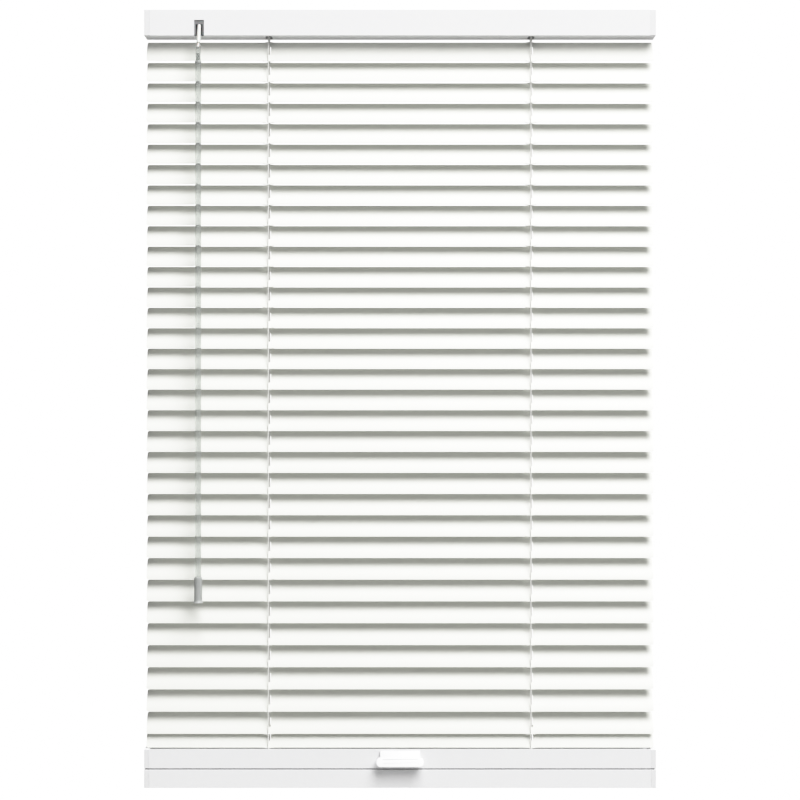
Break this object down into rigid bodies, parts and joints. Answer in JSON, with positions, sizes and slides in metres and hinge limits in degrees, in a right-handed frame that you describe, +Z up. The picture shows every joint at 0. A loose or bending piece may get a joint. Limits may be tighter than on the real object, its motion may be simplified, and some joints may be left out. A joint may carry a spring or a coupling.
{
  "type": "venetian blind",
  "caption": "Cordless venetian blind: headrail, tilting slats on cord ladders, tilt wand, sliding lift rail with a handle, and a fixed base rail.",
  "frame": {"origin": "centre of the fixing holes, in the plane of the headrail's top", "axes": "+Z up, +X to the right seen from the room, -Y towards the room"},
  "size_m": [0.54, 0.042, 0.821],
  "materials": {
    "lacquered_aluminium": "satin coil-coated lacquer, warm white",
    "coated_steel": "roll-formed steel strip, fine powder coat, cool pale grey",
    "coated_aluminium": "extrusion, fine powder coat, cool pale grey",
    "white_abs": "moulded, fine spark-eroded texture",
    "nylon": "moulded natural nylon",
    "zinc_plated_steel": "bright zinc plate",
    "clear_styrene": "clear, extruded, slightly smoky",
    "grey_pvc": "translucent grey sleeve",
    "polyester_cord": "white braided cord"
  },
  "bodies": {
    "root": {"headrail": "coated_steel", "headrail_end_caps": "white_abs", "mounting_brackets": "zinc_plated_steel", "tilter_housing": "nylon", "drum_cradles": "nylon", "guide_cords": "polyester_cord", "base_rail": "coated_aluminium", "base_rail_end_caps": "white_abs"},
    "worm": {"tilter_worm": "nylon"},
    "tilt_shaft": {"tilt_rod": "zinc_plated_steel", "tilter_gear": "nylon", "ladder_drums": "nylon"},
    "wand_socket": {"wand_cap": "clear_styrene"},
    "wand": {"wand_rod": "clear_styrene", "wand_grip": "grey_pvc"},
    "ladder_front": {"ladder_front_cords": "polyester_cord"},
    "ladder_back": {"ladder_back_cords": "polyester_cord"},
    "lift_rail": {"lift_rail": "coated_aluminium", "lift_rail_end_caps": "white_abs", "lift_handle": "white_abs"},
    "slat_01": {"slat_01": "lacquered_aluminium"},
    "slat_02": {"slat_02": "lacquered_aluminium"},
    "slat_03": {"slat_03": "lacquered_aluminium"},
    "slat_04": {"slat_04": "lacquered_aluminium"},
    "slat_05": {"slat_05": "lacquered_aluminium"},
    "slat_06": {"slat_06": "lacquered_aluminium"},
    "slat_07": {"slat_07": "lacquered_aluminium"},
    "slat_08": {"slat_08": "lacquered_aluminium"},
    "slat_09": {"slat_09": "lacquered_aluminium"},
    "slat_10": {"slat_10": "lacquered_aluminium"},
    "slat_11": {"slat_11": "lacquered_aluminium"},
    "slat_12": {"slat_12": "lacquered_aluminium"},
    "slat_13": {"slat_13": "lacquered_aluminium"},
    "slat_14": {"slat_14": "lacquered_aluminium"},
    "slat_15": {"slat_15": "lacquered_aluminium"},
    "slat_16": {"slat_16": "lacquered_aluminium"},
    "slat_17": {"slat_17": "lacquered_aluminium"},
    "slat_18": {"slat_18": "lacquered_aluminium"},
    "slat_19": {"slat_19": "lacquered_aluminium"},
    "slat_20": {"slat_20": "lacquered_aluminium"},
    "slat_21": {"slat_21": "lacquered_aluminium"},
    "slat_22": {"slat_22": "lacquered_aluminium"},
    "slat_23": {"slat_23": "lacquered_aluminium"},
    "slat_24": {"slat_24": "lacquered_aluminium"},
    "slat_25": {"slat_25": "lacquered_aluminium"},
    "slat_26": {"slat_26": "lacquered_aluminium"},
    "slat_27": {"slat_27": "lacquered_aluminium"},
    "slat_28": {"slat_28": "lacquered_aluminium"},
    "slat_29": {"slat_29": "lacquered_aluminium"},
    "slat_30": {"slat_30": "lacquered_aluminium"},
    "slat_31": {"slat_31": "lacquered_aluminium"},
    "slat_32": {"slat_32": "lacquered_aluminium"},
    "slat_33": {"slat_33": "lacquered_aluminium"},
    "slat_34": {"slat_34": "lacquered_aluminium"},
    "carrier_28": {"rung_28": "polyester_cord"},
    "carrier_29": {"rung_29": "polyester_cord"},
    "carrier_30": {"rung_30": "polyester_cord"},
    "carrier_31": {"rung_31": "polyester_cord"},
    "carrier_32": {"rung_32": "polyester_cord"},
    "carrier_33": {"rung_33": "polyester_cord"}
  },
  "joints": [
    {"name": "wand_swing", "type": "hinge", "parent": "root", "child": "wand_socket", "pos_m": [-0.212, -0.0238, -0.0409], "axis": [-1, 0, 0], "range_deg": [0, 60]},
    {"name": "wand_turn", "type": "hinge", "parent": "wand_socket", "child": "wand", "pos_m": [-0.212, -0.0238, -0.0409], "axis": [0, 0, -1], "range_deg": [0, 2160]},
    {"name": "worm_spin", "type": "hinge", "parent": "root", "child": "worm", "pos_m": [-0.212, -0.00869, -0.00851], "axis": [0, -0.4226, -0.9063], "range_deg": [0, 2160]},
    {"name": "tilt_rod_turn", "type": "hinge", "parent": "root", "child": "tilt_shaft", "pos_m": [0, 0.002, -0.0135], "axis": [-1, 0, 0], "range_deg": [0, 120]},
    {"name": "rail_lift", "type": "slide", "parent": "root", "child": "lift_rail", "axis": [0, 0, 1], "range_m": [0, 0.134]},
    {"name": "rung_28_lift", "type": "slide", "parent": "root", "child": "carrier_28", "axis": [0, 0, 1], "range_m": [0, 0.0201]},
    {"name": "rung_29_lift", "type": "slide", "parent": "root", "child": "carrier_29", "axis": [0, 0, 1], "range_m": [0, 0.04033]},
    {"name": "rung_30_lift", "type": "slide", "parent": "root", "child": "carrier_30", "axis": [0, 0, 1], "range_m": [0, 0.06069]},
    {"name": "rung_31_lift", "type": "slide", "parent": "root", "child": "carrier_31", "axis": [0, 0, 1], "range_m": [0, 0.08117]},
    {"name": "rung_32_lift", "type": "slide", "parent": "root", "child": "carrier_32", "axis": [0, 0, 1], "range_m": [0, 0.10178]},
    {"name": "rung_33_lift", "type": "slide", "parent": "root", "child": "carrier_33", "axis": [0, 0, 1], "range_m": [0, 0.12251]},
    {"name": "slat_01_tilt", "type": "hinge", "parent": "root", "child": "slat_01", "pos_m": [0, 0, -0.0421], "axis": [-1, 0, 0], "range_deg": [0, 120]},
    {"name": "slat_02_tilt", "type": "hinge", "parent": "root", "child": "slat_02", "pos_m": [0, 0, -0.06383], "axis": [-1, 0, 0], "range_deg": [0, 120]},
    {"name": "slat_03_tilt", "type": "hinge", "parent": "root", "child": "slat_03", "pos_m": [0, 0, -0.08556], "axis": [-1, 0, 0], "range_deg": [0, 120]},
    {"name": "slat_04_tilt", "type": "hinge", "parent": "root", "child": "slat_04", "pos_m": [0, 0, -0.10729], "axis": [-1, 0, 0], "range_deg": [0, 120]},
    {"name": "slat_05_tilt", "type": "hinge", "parent": "root", "child": "slat_05", "pos_m": [0, 0, -0.12902], "axis": [-1, 0, 0], "range_deg": [0, 120]},
    {"name": "slat_06_tilt", "type": "hinge", "parent": "root", "child": "slat_06", "pos_m": [0, 0, -0.15075], "axis": [-1, 0, 0], "range_deg": [0, 120]},
    {"name": "slat_07_tilt", "type": "hinge", "parent": "root", "child": "slat_07", "pos_m": [0, 0, -0.17248], "axis": [-1, 0, 0], "range_deg": [0, 120]},
    {"name": "slat_08_tilt", "type": "hinge", "parent": "root", "child": "slat_08", "pos_m": [0, 0, -0.19421], "axis": [-1, 0, 0], "range_deg": [0, 120]},
    {"name": "slat_09_tilt", "type": "hinge", "parent": "root", "child": "slat_09", "pos_m": [0, 0, -0.21594], "axis": [-1, 0, 0], "range_deg": [0, 120]},
    {"name": "slat_10_tilt", "type": "hinge", "parent": "root", "child": "slat_10", "pos_m": [0, 0, -0.23767], "axis": [-1, 0, 0], "range_deg": [0, 120]},
    {"name": "slat_11_tilt", "type": "hinge", "parent": "root", "child": "slat_11", "pos_m": [0, 0, -0.2594], "axis": [-1, 0, 0], "range_deg": [0, 120]},
    {"name": "slat_12_tilt", "type": "hinge", "parent": "root", "child": "slat_12", "pos_m": [0, 0, -0.28113], "axis": [-1, 0, 0], "range_deg": [0, 120]},
    {"name": "slat_13_tilt", "type": "hinge", "parent": "root", "child": "slat_13", "pos_m": [0, 0, -0.30286], "axis": [-1, 0, 0], "range_deg": [0, 120]},
    {"name": "slat_14_tilt", "type": "hinge", "parent": "root", "child": "slat_14", "pos_m": [0, 0, -0.32459], "axis": [-1, 0, 0], "range_deg": [0, 120]},
    {"name": "slat_15_tilt", "type": "hinge", "parent": "root", "child": "slat_15", "pos_m": [0, 0, -0.34632], "axis": [-1, 0, 0], "range_deg": [0, 120]},
    {"name": "slat_16_tilt", "type": "hinge", "parent": "root", "child": "slat_16", "pos_m": [0, 0, -0.36805], "axis": [-1, 0, 0], "range_deg": [0, 120]},
    {"name": "slat_17_tilt", "type": "hinge", "parent": "root", "child": "slat_17", "pos_m": [0, 0, -0.38978], "axis": [-1, 0, 0], "range_deg": [0, 120]},
    {"name": "slat_18_tilt", "type": "hinge", "parent": "root", "child": "slat_18", "pos_m": [0, 0, -0.41164], "axis": [-1, 0, 0], "range_deg": [0, 120]},
    {"name": "slat_19_tilt", "type": "hinge", "parent": "root", "child": "slat_19", "pos_m": [0, 0, -0.43362], "axis": [-1, 0, 0], "range_deg": [0, 120]},
    {"name": "slat_20_tilt", "type": "hinge", "parent": "root", "child": "slat_20", "pos_m": [0, 0, -0.45573], "axis": [-1, 0, 0], "range_deg": [0, 120]},
    {"name": "slat_21_tilt", "type": "hinge", "parent": "root", "child": "slat_21", "pos_m": [0, 0, -0.47796], "axis": [-1, 0, 0], "range_deg": [0, 120]},
    {"name": "slat_22_tilt", "type": "hinge", "parent": "root", "child": "slat_22", "pos_m": [0, 0, -0.50032], "axis": [-1, 0, 0], "range_deg": [0, 120]},
    {"name": "slat_23_tilt", "type": "hinge", "parent": "root", "child": "slat_23", "pos_m": [0, 0, -0.52281], "axis": [-1, 0, 0], "range_deg": [0, 120]},
    {"name": "slat_24_tilt", "type": "hinge", "parent": "root", "child": "slat_24", "pos_m": [0, 0, -0.54542], "axis": [-1, 0, 0], "range_deg": [0, 120]},
    {"name": "slat_25_tilt", "type": "hinge", "parent": "root", "child": "slat_25", "pos_m": [0, 0, -0.56816], "axis": [-1, 0, 0], "range_deg": [0, 120]},
    {"name": "slat_26_tilt", "type": "hinge", "parent": "root", "child": "slat_26", "pos_m": [0, 0, -0.59102], "axis": [-1, 0, 0], "range_deg": [0, 120]},
    {"name": "slat_27_tilt", "type": "hinge", "parent": "root", "child": "slat_27", "pos_m": [0, 0, -0.61401], "axis": [-1, 0, 0], "range_deg": [0, 120]},
    {"name": "slat_28_tilt", "type": "hinge", "parent": "carrier_28", "child": "slat_28", "pos_m": [0, 0, -0.63713], "axis": [-1, 0, 0], "range_deg": [0, 120], "deforming": ["rung_28"]},
    {"name": "slat_29_tilt", "type": "hinge", "parent": "carrier_29", "child": "slat_29", "pos_m": [0, 0, -0.66037], "axis": [-1, 0, 0], "range_deg": [0, 120], "deforming": ["rung_29"]},
    {"name": "slat_30_tilt", "type": "hinge", "parent": "carrier_30", "child": "slat_30", "pos_m": [0, 0, -0.68374], "axis": [-1, 0, 0], "range_deg": [0, 120], "deforming": ["rung_30"]},
    {"name": "slat_31_tilt", "type": "hinge", "parent": "carrier_31", "child": "slat_31", "pos_m": [0, 0, -0.70723], "axis": [-1, 0, 0], "range_deg": [0, 120], "deforming": ["rung_31"]},
    {"name": "slat_32_tilt", "type": "hinge", "parent": "carrier_32", "child": "slat_32", "pos_m": [0, 0, -0.73085], "axis": [-1, 0, 0], "range_deg": [0, 120], "deforming": ["rung_32"]},
    {"name": "slat_33_tilt", "type": "hinge", "parent": "carrier_33", "child": "slat_33", "pos_m": [0, 0, -0.7546], "axis": [-1, 0, 0], "range_deg": [0, 120], "deforming": ["rung_33"]},
    {"name": "slat_34_tilt", "type": "hinge", "parent": "lift_rail", "child": "slat_34", "pos_m": [0, 0, -0.7691], "axis": [-1, 0, 0], "range_deg": [0, 120]},
    {"name": "ladder_front_shift", "type": "hinge", "parent": "slat_17", "child": "ladder_front", "pos_m": [0, -0.00657, -0.4005], "axis": [-1, 0, 0], "range_deg": [-120, 0], "deforming": ["ladder_front_cords"]},
    {"name": "ladder_back_shift", "type": "hinge", "parent": "slat_17", "child": "ladder_back", "pos_m": [0, 0.00657, -0.37906], "axis": [-1, 0, 0], "range_deg": [-120, 0], "deforming": ["ladder_back_cords"]}
  ],
  "couplings": [
    {"joint": "worm_spin", "follows": "wand_turn", "ratio": 1},
    {"joint": "tilt_rod_turn", "follows": "wand_turn", "ratio": 0.055556},
    {"joint": "rung_28_lift", "follows": "rail_lift", "ratio": 0.15002},
    {"joint": "rung_29_lift", "follows": "rail_lift", "ratio": 0.30099},
    {"joint": "rung_30_lift", "follows": "rail_lift", "ratio": 0.45289},
    {"joint": "rung_31_lift", "follows": "rail_lift", "ratio": 0.60573},
    {"joint": "rung_32_lift", "follows": "rail_lift", "ratio": 0.75951},
    {"joint": "rung_33_lift", "follows": "rail_lift", "ratio": 0.91423},
    {"joint": "slat_01_tilt", "follows": "wand_turn", "ratio": 0.055556},
    {"joint": "slat_02_tilt", "follows": "wand_turn", "ratio": 0.055556},
    {"joint": "slat_03_tilt", "follows": "wand_turn", "ratio": 0.055556},
    {"joint": "slat_04_tilt", "follows": "wand_turn", "ratio": 0.055556},
    {"joint": "slat_05_tilt", "follows": "wand_turn", "ratio": 0.055556},
    {"joint": "slat_06_tilt", "follows": "wand_turn", "ratio": 0.055556},
    {"joint": "slat_07_tilt", "follows": "wand_turn", "ratio": 0.055556},
    {"joint": "slat_08_tilt", "follows": "wand_turn", "ratio": 0.055556},
    {"joint": "slat_09_tilt", "follows": "wand_turn", "ratio": 0.055556},
    {"joint": "slat_10_tilt", "follows": "wand_turn", "ratio": 0.055556},
    {"joint": "slat_11_tilt", "follows": "wand_turn", "ratio": 0.055556},
    {"joint": "slat_12_tilt", "follows": "wand_turn", "ratio": 0.055556},
    {"joint": "slat_13_tilt", "follows": "wand_turn", "ratio": 0.055556},
    {"joint": "slat_14_tilt", "follows": "wand_turn", "ratio": 0.055556},
    {"joint": "slat_15_tilt", "follows": "wand_turn", "ratio": 0.055556},
    {"joint": "slat_16_tilt", "follows": "wand_turn", "ratio": 0.055556},
    {"joint": "slat_17_tilt", "follows": "wand_turn", "ratio": 0.055556},
    {"joint": "slat_18_tilt", "follows": "wand_turn", "ratio": 0.055556},
    {"joint": "slat_19_tilt", "follows": "wand_turn", "ratio": 0.055556},
    {"joint": "slat_20_tilt", "follows": "wand_turn", "ratio": 0.055556},
    {"joint": "slat_21_tilt", "follows": "wand_turn", "ratio": 0.055556},
    {"joint": "slat_22_tilt", "follows": "wand_turn", "ratio": 0.055556},
    {"joint": "slat_23_tilt", "follows": "wand_turn", "ratio": 0.055556},
    {"joint": "slat_24_tilt", "follows": "wand_turn", "ratio": 0.055556},
    {"joint": "slat_25_tilt", "follows": "wand_turn", "ratio": 0.055556},
    {"joint": "slat_26_tilt", "follows": "wand_turn", "ratio": 0.055556},
    {"joint": "slat_27_tilt", "follows": "wand_turn", "ratio": 0.055556},
    {"joint": "slat_28_tilt", "follows": "wand_turn", "ratio": 0.055556},
    {"joint": "slat_29_tilt", "follows": "wand_turn", "ratio": 0.055556},
    {"joint": "slat_30_tilt", "follows": "wand_turn", "ratio": 0.055556},
    {"joint": "slat_31_tilt", "follows": "wand_turn", "ratio": 0.055556},
    {"joint": "slat_32_tilt", "follows": "wand_turn", "ratio": 0.055556},
    {"joint": "slat_33_tilt", "follows": "wand_turn", "ratio": 0.055556},
    {"joint": "slat_34_tilt", "follows": "wand_turn", "ratio": 0.055556},
    {"joint": "ladder_front_shift", "follows": "wand_turn", "ratio": -0.055556},
    {"joint": "ladder_back_shift", "follows": "wand_turn", "ratio": -0.055556}
  ]
}
